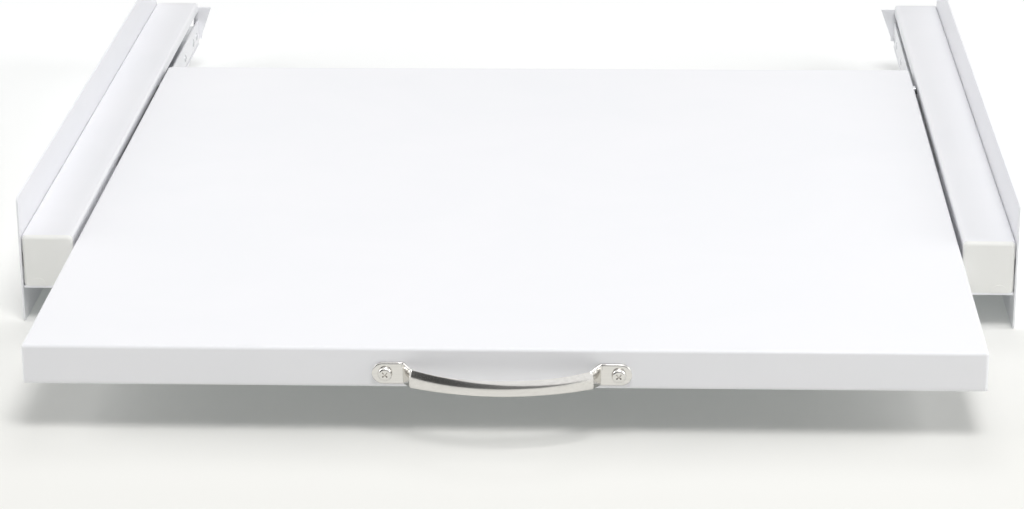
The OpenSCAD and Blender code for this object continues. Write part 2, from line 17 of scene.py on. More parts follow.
import bmesh
import bpy
from bmesh.types import BMEdge, BMesh, BMVert
from bpy.types import Camera, Light, Material, Mesh, Node, NodeSocket, NodeTree, Object
from mathutils import Matrix, Vector

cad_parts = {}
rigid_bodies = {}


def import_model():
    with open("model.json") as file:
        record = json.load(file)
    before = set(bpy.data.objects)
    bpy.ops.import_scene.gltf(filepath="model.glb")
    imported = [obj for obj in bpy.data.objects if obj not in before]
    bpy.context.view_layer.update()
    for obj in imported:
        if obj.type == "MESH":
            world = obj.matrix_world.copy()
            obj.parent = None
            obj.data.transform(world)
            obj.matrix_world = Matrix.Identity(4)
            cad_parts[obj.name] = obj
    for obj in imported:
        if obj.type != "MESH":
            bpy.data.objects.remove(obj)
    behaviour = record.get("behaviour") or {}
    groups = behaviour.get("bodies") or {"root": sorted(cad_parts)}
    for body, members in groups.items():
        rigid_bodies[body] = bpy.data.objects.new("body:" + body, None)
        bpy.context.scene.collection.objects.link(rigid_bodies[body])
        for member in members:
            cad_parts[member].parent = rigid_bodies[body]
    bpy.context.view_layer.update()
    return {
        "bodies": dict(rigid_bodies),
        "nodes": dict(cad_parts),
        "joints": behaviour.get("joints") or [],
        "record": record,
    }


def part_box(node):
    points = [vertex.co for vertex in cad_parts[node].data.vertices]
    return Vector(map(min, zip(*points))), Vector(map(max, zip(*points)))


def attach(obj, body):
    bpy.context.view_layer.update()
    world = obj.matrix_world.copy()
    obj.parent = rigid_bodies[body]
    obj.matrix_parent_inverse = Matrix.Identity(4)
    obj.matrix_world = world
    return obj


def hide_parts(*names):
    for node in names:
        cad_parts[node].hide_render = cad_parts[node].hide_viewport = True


Pair = tuple[float, float]
Triple = tuple[float, float, float]
# Points of a section that is turned: distance along the axis and radius
Profile = list[Pair]

MM = 0.001
# Millimetres: points nearer than CAD_MERGE or TOUCH are one, and past CLEAR they are apart
CAD_MERGE = 0.002
TOUCH = 0.001
CLEAR = 0.01
log = logging.getLogger("stacking_kit")


class Side(Enum):
    LEFT = -1
    RIGHT = 1

    @property
    def word(self) -> str:
        """The side's name as CAD nodes have it.

        Returns:
            The word left or right.
        """
        return self.name.lower()


class Slot(Enum):
    """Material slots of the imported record."""

    WHITE_STEEL = "white_steel"
    CAP_PLASTIC = "cap_plastic"
    ZINC_STEEL = "zinc_steel"
    NYLON = "nylon"
    NICKEL_STEEL = "nickel_steel"


class Box(NamedTuple):
    """Lowest and highest corners in millimetres."""

    low: Vector
    high: Vector

    @property
    def middle(self) -> Vector:
        """The point halfway between the corners.

        Returns:
            The point.
        """
        return (self.low + self.high) / 2

    @property
    def size(self) -> Vector:
        """How far the box reaches along each axis.

        Returns:
            The three lengths.
        """
        return self.high - self.low


class NodeBoard:
    """A node tree with short calls to lay and wire its nodes."""

    def __init__(self, tree: NodeTree) -> None:
        """Keeps the tree.

        Args:
            tree: The node tree to lay nodes in.
        """
        self.tree = tree

    def add(self, kind: str, **settings: object) -> Node:
        """Lays one node and sets its properties.

        Args:
            kind: The node's type name, such as ShaderNodeMath.
            settings: Its properties.

        Returns:
            The new node.
        """
        node = self.tree.nodes.new(kind)
        for name, value in settings.items():
            setattr(node, name, value)
        return node

    def give(self, socket: NodeSocket, source: object) -> None:
        """Wires an output to an input, or sets the input's value.

        Args:
            socket: The input.
            source: A socket or a value.
        """
        if isinstance(source, NodeSocket):
            self.tree.links.new(source, socket)
        else:
            socket.default_value = source

    def feed(self, node: Node, **sources: object) -> Node:
        """Wires or sets named inputs of a node.

        Args:
            node: The node whose inputs are fed.
            sources: A socket or a value for each name, which has _ for each space.

        Returns:
            The node.
        """
        for name, source in sources.items():
            self.give(node.inputs[name.replace("_", " ")], source)
        return node

    def calc(self, operation: str, first: object, second: object) -> NodeSocket:
        """Works out one value from two.

        Args:
            operation: What is done, such as ADD.
            first: A socket or a number.
            second: A socket or a number.

        Returns:
            The result.
        """
        node = self.add("ShaderNodeMath", operation=operation)
        self.give(node.inputs[0], first)
        self.give(node.inputs[1], second)
        return node.outputs[0]

    def noise(self, vector: NodeSocket, scale: NodeSocket, **settings: float) -> NodeSocket:
        """Lays a noise texture.

        Args:
            vector: Its coordinates.
            scale: Its features per metre.
            settings: Values of its other inputs.

        Returns:
            The noise, from 0 to 1.
        """
        texture = self.add("ShaderNodeTexNoise")
        return self.feed(texture, Vector=vector, Scale=scale, **settings).outputs["Fac"]

    def spread(self, value: NodeSocket, low: float, high: float, floor: float = 0.3,
               ceiling: float = 0.7) -> NodeSocket:
        """Maps a texture's middle range onto values of a finish.

        Args:
            value: The texture, from 0 to 1.
            low: Result at the floor.
            high: Result at the ceiling.
            floor: Texture value that gives low.
            ceiling: Texture value that gives high.

        Returns:
            The mapped value.
        """
        node = self.add("ShaderNodeMapRange")
        self.feed(node, Value=value, From_Min=floor, From_Max=ceiling, To_Min=low, To_Max=high)
        return node.outputs["Result"]

    def mix(self, share: object, first: object, second: object) -> NodeSocket:
        """Mixes two colours or two values.

        Args:
            share: A socket or a number, 1 for the second alone.
            first: Linear RGB as a tuple, or a socket that gives a value.
            second: The same kind of thing.

        Returns:
            The mixture.
        """
        if isinstance(first, tuple):
            node = self.add("ShaderNodeMix", data_type="RGBA")
            inputs, output = (node.inputs[0], *node.inputs[6:8]), node.outputs[2]
            first, second = (*first, 1.0), (*second, 1.0)
        else:
            node = self.add("ShaderNodeMix", data_type="FLOAT")
            inputs, output = (node.inputs[0], *node.inputs[2:4]), node.outputs[0]
        for socket, source in zip(inputs, (share, first, second)):
            self.give(socket, source)
        return output


class SharedEffects:
    """Node groups that more than one finish uses, each built once."""

    grit_fineness: float = 4.0

    def __init__(self) -> None:
        """Builds the groups."""
        self.peel = self._peel()
        self.handling = self._handling()
        self.rolling = self._rolling()

    @staticmethod
    def _group(name: str, output: str, **values: float) -> tuple[NodeBoard, Node, Node]:
        """Starts a node group that makes one value from coordinates.

        Args:
            name: The group's name.
            output: The output's name.
            values: Default values of further inputs, by name with _ for each space.

        Returns:
            The board, the group's input node and its output node.
        """
        tree = bpy.data.node_groups.new(name, "ShaderNodeTree")
        tree.interface.new_socket(name="Vector", in_out="INPUT", socket_type="NodeSocketVector")
        for label, value in values.items():
            socket = tree.interface.new_socket(name=label.replace("_", " "), in_out="INPUT",
                                               socket_type="NodeSocketFloat")
            socket.default_value = value
        tree.interface.new_socket(name=output, in_out="OUTPUT", socket_type="NodeSocketFloat")
        board = NodeBoard(tree)
        return board, board.add("NodeGroupInput"), board.add("NodeGroupOutput")

    def _peel(self) -> NodeTree:
        """The gentle waves of baked powder or of a textured mould.

        Returns:
            A group that puts out their height.
        """
        board, given, result = self._group("moulded_waves", "Height", Waves_per_metre=700.0, Grit=0.2)
        vector, scale, share = given.outputs[:3]
        wave = board.noise(vector, scale, Detail=1.0, Roughness=0.4)
        finer = board.calc("MULTIPLY", scale, self.grit_fineness)
        grit = board.noise(vector, finer, Detail=2.0, Roughness=0.6)
        board.feed(result, Height=board.calc("ADD", wave, board.calc("MULTIPLY", grit, share)))
        return board.tree

    def _handling(self) -> NodeTree:
        """Faint clouds that wiping and handling leave in a surface's gloss.

        Returns:
            A group that puts out their mask.
        """
        board, given, result = self._group("handling_clouds", "Mask", Clouds_per_metre=9.0)
        cloud = board.noise(*given.outputs[:2], Detail=4.0, Roughness=0.55, Distortion=0.6)
        board.feed(result, Mask=board.spread(cloud, 0.0, 1.0))
        return board.tree

    def _rolling(self) -> NodeTree:
        """Fine lines that rolling or brushing leaves along metal.

        Returns:
            A group that puts out their mask, from coordinates stretched along them.
        """
        board, given, result = self._group("drawn_lines", "Lines", Lines_per_metre=900.0)
        fine = board.noise(*given.outputs[:2], Detail=3.0, Roughness=0.65)
        board.feed(result, Lines=board.spread(fine, 0.0, 1.0, 0.25, 0.75))
        return board.tree


@dataclass(frozen=True)
class Finish:
    """A finish's name and the values that its shader takes as they are."""

    name: str
    slot: Slot
    colour: Triple
    shade: Triple
    roughness: Pair
    bump: float
    bump_depth_mm: float

    def _start(self, effects: SharedEffects) -> tuple[NodeBoard, NodeSocket, NodeSocket]:
        """Makes the material with its handling clouds.

        Args:
            effects: The shared node groups.

        Returns:
            The board, the object coordinates and the clouds' mask.
        """
        material = bpy.data.materials.new(self.name)
        material.use_nodes = True
        board = NodeBoard(material.node_tree)
        coords = board.add("ShaderNodeTexCoord").outputs["Object"]
        clouds = board.add("ShaderNodeGroup", node_tree=effects.handling)
        return board, coords, board.feed(clouds, Vector=coords).outputs["Mask"]

    def _complete(self, board: NodeBoard, tone: NodeSocket, gloss: NodeSocket,
                  height: NodeSocket, **values: float) -> Material:
        """Feeds the shader its colours, roughness and bump.

        Args:
            board: The material's board.
            tone: Mask between the two colours.
            gloss: Mask between the two roughnesses.
            height: Height of the bump, from 0 to 1.
            values: Other inputs of the shader.

        Returns:
            The material.
        """
        bump = board.add("ShaderNodeBump")
        board.feed(bump, Strength=self.bump, Distance=self.bump_depth_mm * MM, Height=height)
        board.feed(board.tree.nodes["Principled BSDF"], Normal=bump.outputs["Normal"],
                   Base_Color=board.mix(tone, self.colour, self.shade),
                   Roughness=board.spread(gloss, *self.roughness, 0.0, 1.0), **values)
        return bpy.data.materials[self.name]

    def build(self, effects: SharedEffects) -> Material:
        """Builds the finish's material.

        Args:
            effects: The shared node groups.

        Returns:
            The material.
        """
        raise NotImplementedError


@dataclass(frozen=True)
class WavedFinish(Finish):
    """A soft gloss over waves, a little translucent where subsurface is above 0."""

    waves_per_metre: float = 0.0
    grit: float = 0.0
    ior: float = 1.5
    subsurface: float = 0.0
    subsurface_mm: float = 2.0

    def build(self, effects: SharedEffects) -> Material:
        """Builds the finish's material.

        Args:
            effects: The shared node groups.

        Returns:
            The material.
        """
        board, coords, clouds = self._start(effects)
        waves = board.add("ShaderNodeGroup", node_tree=effects.peel)
        board.feed(waves, Vector=coords, Waves_per_metre=self.waves_per_metre, Grit=self.grit)
        return self._complete(board, clouds, clouds, waves.outputs["Height"], IOR=self.ior,
                              Subsurface_Weight=self.subsurface, Subsurface_Scale=self.subsurface_mm * MM)


@dataclass(frozen=True)
class PowderCoat(WavedFinish):
    """White powder baked on steel, in gentle waves."""

    waves_per_metre: float = 620.0
    grit: float = 0.15


@dataclass(frozen=True)
class MouldedPlastic(WavedFinish):
    """A moulding with the fine texture of a spark-cut mould."""

    waves_per_metre: float = 1500.0
    grit: float = 0.8
    ior: float = 1.47


@dataclass(frozen=True)
class BareMetal(Finish):
    """Plated metal with lines along one axis and, on zinc, a faint pattern of crystals."""

    stretch: Triple = (1.0, 0.02, 1.0)
    lines_per_metre: float = 900.0
    crystals_per_metre: float = 0.0
    crystal_share: float = 0.5
    cloud_share: float = 0.35

    def build(self, effects: SharedEffects) -> Material:
        """Builds the finish's material.

        Args:
            effects: The shared node groups.

        Returns:
            The material.
        """
        board, coords, clouds = self._start(effects)
        along = board.feed(board.add("ShaderNodeMapping"), Vector=coords, Scale=self.stretch)
        lines = board.add("ShaderNodeGroup", node_tree=effects.rolling)
        board.feed(lines, Vector=along.outputs["Vector"], Lines_per_metre=self.lines_per_metre)
        mask = lines.outputs["Lines"]
        if self.crystals_per_metre:
            crystals = board.add("ShaderNodeTexVoronoi")
            board.feed(crystals, Vector=coords, Scale=self.crystals_per_metre)
            grey = board.feed(board.add("ShaderNodeRGBToBW"), Color=crystals.outputs["Color"])
            mask = board.mix(self.crystal_share, mask, grey.outputs["Val"])
        gloss = board.mix(self.cloud_share, mask, clouds)
        return self._complete(board, mask, gloss, mask, Metallic=1.0)


FINISHES = (
    PowderCoat("white_powder_coat", Slot.WHITE_STEEL, (0.90, 0.90, 0.925), (0.88, 0.885, 0.91),
               (0.34, 0.42), 0.25, 0.06),
    MouldedPlastic("cap_moulding", Slot.CAP_PLASTIC, (0.9, 0.9, 0.87), (0.87, 0.87, 0.84),
                   (0.46, 0.56), 0.25, 0.04),
    MouldedPlastic("roller_nylon", Slot.NYLON, (0.84, 0.83, 0.77), (0.80, 0.79, 0.72),
                   (0.38, 0.5), 0.2, 0.03, subsurface=0.15),
    BareMetal("zinc_plating", Slot.ZINC_STEEL, (0.66, 0.67, 0.69), (0.54, 0.55, 0.57),
              (0.26, 0.42), 0.15, 0.03, crystals_per_metre=160.0),
    BareMetal("satin_nickel", Slot.NICKEL_STEEL, (0.80, 0.785, 0.757), (0.71, 0.695, 0.668),
              (0.10, 0.18), 0.12, 0.02, stretch=(0.02, 1.0, 1.0)),
)


def put_in_scene(name: str, data: Mesh | Light | Camera) -> Object:
    """Makes an object of some data and links it to the scene.

    Args:
        name: The object's name.
        data: The mesh, lamp or camera.

    Returns:
        The object.
    """
    item = bpy.data.objects.new(name, data)
    bpy.context.scene.collection.objects.link(item)
    return item


def object_of(shape: BMesh, name: str) -> Object:
    """Makes a shape an object of the scene.

    Args:
        shape: The shape, which is freed.
        name: The object's and its mesh's name.

    Returns:
        The object.
    """
    mesh = bpy.data.meshes.new(name)
    shape.to_mesh(mesh)
    shape.free()
    return put_in_scene(name, mesh)


def linked(verts: Iterable[BMVert], kind: str) -> list:
    """What holds some vertices, each thing once and in a fixed order.

    Args:
        verts: The vertices.
        kind: Which things, link_edges or link_faces.

    Returns:
        The edges or faces.
    """
    return list(dict.fromkeys(item for vert in verts for item in getattr(vert, kind)))


def add_block(shape: BMesh, middle: Vector, size: Vector) -> list[BMVert]:
    """Adds a block to a shape.

    Args:
        shape: Takes the block.
        middle: The block's middle.
        size: Its lengths along the axes.

    Returns:
        The block's vertices.
    """
    placing = Matrix.LocRotScale(middle, None, size)
    return bmesh.ops.create_cube(shape, size=1.0, matrix=placing)["verts"]


def round_over(shape: BMesh, edges: Sequence[BMEdge], radius: float, segments: int = 3) -> None:
    """Rounds edges of a shape.

    Args:
        shape: The shape.
        edges: The edges to round.
        radius: Radius of the rounding in millimetres.
        segments: Faces across the rounding.
    """
    bmesh.ops.bevel(shape, geom=edges, offset=radius, offset_type="OFFSET", affect="EDGES",
                    segments=segments, profile=0.5, material=-1, clamp_overlap=True)


def close_holes(shape: BMesh) -> None:
    """Closes every open ring of a shape with a face.

    Args:
        shape: The shape.
    """
    bmesh.ops.holes_fill(shape, edges=[e for e in shape.edges if e.is_boundary], sides=0)


def turn_profile(shape: BMesh, profile: Profile, placing: Matrix,
                 closed: bool = False, steps: int = 48) -> None:
    """Turns a profile about X, as on a lathe, and puts the result in its place.

    Args:
        shape: Takes the turned body.
        profile: The section to turn.
        placing: Where the turned body goes.
        closed: True where the profile is a ring that doesn't reach the axis.
        steps: Faces round the axis.
    """
    known = set(shape.verts)
    verts = [shape.verts.new((along, radius, 0.0)) for along, radius in profile]
    edges = [shape.edges.new(pair) for pair in zip(verts, verts[1:])]
    if closed:
        edges.append(shape.edges.new((verts[-1], verts[0])))
    bmesh.ops.spin(shape, geom=verts + edges, cent=(0.0, 0.0, 0.0), axis=(1.0, 0.0, 0.0),
                   angle=math.tau, steps=steps, use_merge=True)
    fresh = [v for v in shape.verts if v not in known]
    bmesh.ops.remove_doubles(shape, verts=fresh, dist=TOUCH)
    fresh = [v for v in shape.verts if v not in known]
    bmesh.ops.recalc_face_normals(shape, faces=linked(fresh, "link_faces"))
    bmesh.ops.transform(shape, matrix=placing, verts=fresh)


def facing(place: Vector, side: Side) -> Matrix:
    """Placing of a turned body whose axis points to one side.

    Args:
        place: Where the body's zero goes.
        side: The side that it points to.

    Returns:
        The placing.
    """
    turn = Matrix.Identity(4) if side is Side.RIGHT else Matrix.Rotation(math.pi, 4, "Z")
    return Matrix.Translation(place) @ turn


def quarter(radius: float, rise: float, count: int) -> Profile:
    """A quarter of an ellipse, from its top on the axis down to its rim.

    Args:
        radius: Half width, at the rim.
        rise: Height above the rim.
        count: Steps.

    Returns:
        The profile.
    """
    turns = [k * math.pi / 2 / count for k in range(count + 1)]
    return [(rise * math.cos(a), radius * math.sin(a)) for a in turns]


def cut_away(body: BMesh, cutter: BMesh) -> BMesh:
    """Cuts one closed shape out of another.

    Args:
        body: The shape that stays, which is freed.
        cutter: The shape that is taken away, which is freed.

    Returns:
        What stays.
    """
    objects = [object_of(body, "cut_body"), object_of(cutter, "cutter")]
    cut = objects[0].modifiers.new("cut", "BOOLEAN")
    cut.operation = "DIFFERENCE"
    cut.solver = "EXACT"
    cut.object = objects[1]
    bpy.context.view_layer.update()
    done = objects[0].evaluated_get(bpy.context.evaluated_depsgraph_get())
    rest = bmesh.new()
    rest.from_mesh(done.to_mesh())
    done.to_mesh_clear()
    for item in objects:
        mesh = item.data
        bpy.data.objects.remove(item)
        bpy.data.meshes.remove(mesh)
    return rest


class Workbench:
    """Turns shapes in millimetres into dressed pieces that stand for CAD nodes."""

    def __init__(self, frame: dict) -> None:
        """Builds every finish and reads each node's body and slot.
        """
        record = frame["record"]
        effects = SharedEffects()
        self.finishes = {finish.slot: finish.build(effects) for finish in FINISHES}
        self.nodes = frame["nodes"]
        self.slots = {p["node"]: Slot(p["material_slot"]) for p in record["subparts"]}
        self.bodies = {
            node: body for body, names in record["behaviour"]["bodies"].items() for node in names
        }

    def dress_nodes(self) -> None:
        """Gives each CAD node the finish that the record names for it."""
        for name, slot in self.slots.items():
            for place in self.nodes[name].material_slots:
                place.material = self.finishes[slot]
            log.info("%s has %s", name, slot.value)

    def box(self, node: str) -> Box:
        """A node's box.

        Args:
            node: The node's name.

        Returns:
            The box in millimetres.
        """
        low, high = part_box(node)
        return Box(Vector(low) / MM, Vector(high) / MM)

    def copy_of(self, node: str) -> BMesh:
        """A merged copy of a CAD node's mesh.

        Args:
            node: The node's name.

        Returns:
            The copy, in millimetres.
        """
        shape = bmesh.new()
        shape.from_mesh(self.nodes[node].data)
        bmesh.ops.scale(shape, vec=Vector((1.0, 1.0, 1.0)) / MM, verts=shape.verts)
        bmesh.ops.remove_doubles(shape, verts=shape.verts, dist=CAD_MERGE)
        return shape

    def solids(self, node: str) -> list[Box]:
        """Boxes of the separate solids in a CAD node.

        Args:
            node: The node's name.

        Returns:
            The boxes in millimetres, in a fixed order.
        """
        shape = self.copy_of(node)
        left = set(shape.verts)
        boxes = []
        while left:
            group, open_verts = set(), [left.pop()]
            while open_verts:
                vert = open_verts.pop()
                group.add(vert)
                for edge in vert.link_edges:
                    other = edge.other_vert(vert)
                    if other in left:
                        left.remove(other)
                        open_verts.append(other)
            corners = [[v.co[axis] for v in group] for axis in range(3)]
            boxes.append(Box(Vector(map(min, corners)), Vector(map(max, corners))))
        shape.free()
        return sorted(boxes, key=lambda box: tuple(round(c, 3) for c in box.low))

    def hand_over(self, shape: BMesh, name: str, node: str, smooth: float = 40.0) -> Object:
        """Makes a shape a piece that rides, is dressed and stands for its node.

        Args:
            shape: The shape in millimetres, which is freed.
            name: The piece's name.
            node: The CAD node that it stands for.
            smooth: Edges sharper than this many degrees stay sharp.

        Returns:
            The piece.
        """
        bmesh.ops.scale(shape, vec=Vector((MM, MM, MM)), verts=shape.verts)
        piece = object_of(shape, name)
        piece.data.shade_smooth()
        piece.data.set_sharp_from_angle(angle=math.radians(smooth))
        piece.data.materials.append(self.finishes[self.slots[node]])
        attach(piece, self.bodies[node])
        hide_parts(node)
        log.info("%s stands for %s", name, node)
        return piece


@dataclass
class FoldedSheets:
    """The sheet parts: CAD forms whose cut edges are eased as baked powder or plating leaves them."""

    edge_ease: float = 0.22
    ease_segments: int = 2
    flat_turn: float = 0.5
    edge_turn: float = 50.0
    weld_size: Pair = (5.6, 2.6)
    weld_sunk: float = 0.02
    weld_fold_r: float = 2.0
    weld_steps: int = 6
    of_each_side: tuple[str, ...] = ("side_plate", "rail", "slide_carrier", "fixed_runner",
                                     "rear_stop", "shelf_runner")
    across: tuple[str, ...] = ("front_tie_bar", "rear_tie_bar", "shelf_panel",
                               "shelf_stiffener", "handle_nuts")

    def build(self, bench: Workbench) -> None:
        """Copies every sheet part and eases its cut edges.

        Args:
            bench: Finishes the pieces.
        """
        names = [f"{side.word}_{name}" for side in Side for name in self.of_each_side]
        for node in (*names, *self.across):
            shape = bench.copy_of(node)
            bmesh.ops.dissolve_limit(shape, angle_limit=math.radians(self.flat_turn),
                                     verts=shape.verts, edges=shape.edges, delimit={"NORMAL"})
            if node == "shelf_panel":
                self._weld_corners(shape, bench.box(node))
            piece = bench.hand_over(shape, f"{node}_eased", node, smooth=180.0)
            ease = piece.modifiers.new("eased_edges", "BEVEL")
            ease.limit_method = "ANGLE"
            ease.angle_limit = math.radians(self.edge_turn)
            ease.width = self.edge_ease * MM
            ease.segments = self.ease_segments
            ease.profile = 0.5
            ease.use_clamp_overlap = False
            flats = piece.modifiers.new("flat_faces_stay_flat", "WEIGHTED_NORMAL")
            flats.mode = "FACE_AREA"
            flats.weight = 100

    def _weld_corners(self, shape: BMesh, panel: Box) -> None:
        """Fills the open corners between the shelf's lip and its flanges, ground flush.

        Args:
            shape: The shelf panel.
            panel: Its box.
        """
        width, deep = self.weld_size
        size = Vector((width, deep, panel.size.z - 2 * self.weld_sunk))
        for side in Side:
            middle = Vector((side.value * (panel.high.x - self.weld_sunk - width / 2),
                             panel.low.y + self.weld_sunk + deep / 2, panel.middle.z))
            outer = []
            for edge in linked(add_block(shape, middle, size), "link_edges"):
                place = (edge.verts[0].co + edge.verts[1].co) / 2 - middle
                outside = (place.x * side.value > width / 4, place.y < -deep / 4, abs(place.z) > size.z / 4)
                if sum(outside) == 2:
                    outer.append(edge)
            round_over(shape, outer, self.weld_fold_r, self.weld_steps)


@dataclass
class FrontCaps:
    """The moulded covers on the rails' front ends, each with a hollow plug and a pull tab."""

    slab_t: float = 3.0
    corner_r: float = 3.0
    rim_r: float = 2.3
    round_steps: int = 8
    foot_cut: float = 1.6
    plug_in: float = 1.35
    plug_l: float = 16.0
    plug_t: float = 1.8
    plug_corner_r: float = 2.2
    plug_steps: int = 4
    plug_spare: float = 0.5
    tab_r: float = 5.0
    tab_inset: float = 8.6
    tab_lift: float = 0.1
    tab_proud: float = 0.3
    tab_steps: int = 48
    tab_round: float = 0.8
    overlap: float = 0.2

    def build(self, bench: Workbench) -> None:
        """Makes both caps.

        Args:
            bench: Finishes the pieces.
        """
        cap = bench.box("right_front_cap")
        for side in Side:
            shape = bmesh.new()
            self._slab(shape, cap)
            self._plug(shape, cap)
            self._pull_tab(shape, cap)
            if side is Side.LEFT:
                bmesh.ops.scale(shape, vec=Vector((-1.0, 1.0, 1.0)), verts=shape.verts)
                bmesh.ops.reverse_faces(shape, faces=shape.faces)
            bench.hand_over(shape, f"{side.word}_cap_moulding", f"{side.word}_front_cap")

    @staticmethod
    def _along(edges: Iterable[BMEdge], least: float) -> list[BMEdge]:
        """Edges that run back into the rail.

        Args:
            edges: Where to pick.
            least: The least reach.

        Returns:
            The picked edges.
        """
        return [e for e in edges if abs(e.verts[0].co.y - e.verts[1].co.y) > least]

    def _slab(self, shape: BMesh, cap: Box) -> None:
        """The cover itself, with rounded corners, a soft rim and a straight foot.

        Args:
            shape: Takes the slab.
            cap: The cap's box.
        """
        front = cap.low.y + self.tab_proud
        slab = Box(Vector((cap.low.x, front, cap.low.z - self.foot_cut)),
                   Vector((cap.high.x, cap.low.y + self.slab_t, cap.high.z)))
        add_block(shape, slab.middle, slab.size)
        round_over(shape, self._along(shape.edges, self.overlap), self.corner_r, self.round_steps)
        rim = [e for e in shape.edges if all(abs(v.co.y - front) < TOUCH for v in e.verts)]
        round_over(shape, rim, self.rim_r, self.round_steps)
        bmesh.ops.bisect_plane(shape, geom=[*shape.verts, *shape.edges, *shape.faces],
                               plane_co=cap.low, plane_no=(0.0, 0.0, -1.0), clear_outer=True)
        close_holes(shape)

    def _plug(self, shape: BMesh, cap: Box) -> None:
        """The hollow plug that holds the cap in its rail.

        Args:
            shape: Takes the plug.
            cap: The cap's box.
        """
        start = cap.low.y + self.slab_t
        inner = Vector((cap.low.x + self.plug_in, start - self.overlap, cap.low.z + self.plug_in))
        wide = min(cap.low.x + cap.size.z - self.plug_in, cap.high.x - self.plug_in + self.plug_spare)
        plug = Box(inner, Vector((wide, start + self.plug_l, cap.high.z - self.plug_in)))
        edges = linked(add_block(shape, plug.middle, plug.size), "link_edges")
        round_over(shape, self._along(edges, self.plug_l / 2), self.plug_corner_r, self.plug_steps)
        back = max(shape.faces, key=lambda f: f.calc_center_median().y)
        bmesh.ops.inset_region(shape, faces=[back], thickness=self.plug_t, use_even_offset=True)
        pushed = bmesh.ops.extrude_face_region(shape, geom=[back])
        bmesh.ops.delete(shape, geom=[back], context="FACES_ONLY")
        floor = [v for v in pushed["geom"] if isinstance(v, BMVert)]
        bmesh.ops.translate(shape, vec=(0.0, -self.plug_l, 0.0), verts=floor)

    def _pull_tab(self, shape: BMesh, cap: Box) -> None:
        """The small half-round tab at the cap's foot.

        Args:
            shape: Takes the tab.
            cap: The cap's box.
        """
        place = Vector((cap.high.x - self.tab_inset, cap.low.y, cap.low.z + self.tab_lift))
        placing = Matrix.Translation(place) @ Matrix.Rotation(math.pi / 2, 4, "X")
        disc = bmesh.ops.create_circle(shape, cap_ends=True, segments=self.tab_steps,
                                       radius=self.tab_r, matrix=placing)["verts"]
        geom = [*disc, *linked(disc, "link_edges"), *linked(disc, "link_faces")]
        bmesh.ops.bisect_plane(shape, geom=geom, plane_co=place, plane_no=(0.0, 0.0, -1.0),
                               clear_outer=True)
        half = [f for f in shape.faces if all(abs(v.co.y - cap.low.y) < TOUCH for v in f.verts)]
        pushed = bmesh.ops.extrude_face_region(shape, geom=half, use_keep_orig=True)["geom"]
        back = [g for g in pushed if isinstance(g, BMVert)]
        bmesh.ops.translate(shape, vec=(0.0, self.slab_t - self.overlap, 0.0), verts=back)
        bmesh.ops.recalc_face_normals(shape, faces=[*linked(back, "link_faces"), *half])
        rim = [e for f in half for e in f.edges if e.verts[0].co.z + e.verts[1].co.z > 2 * place.z + CLEAR]
        round_over(shape, rim, self.tab_proud * self.tab_round)


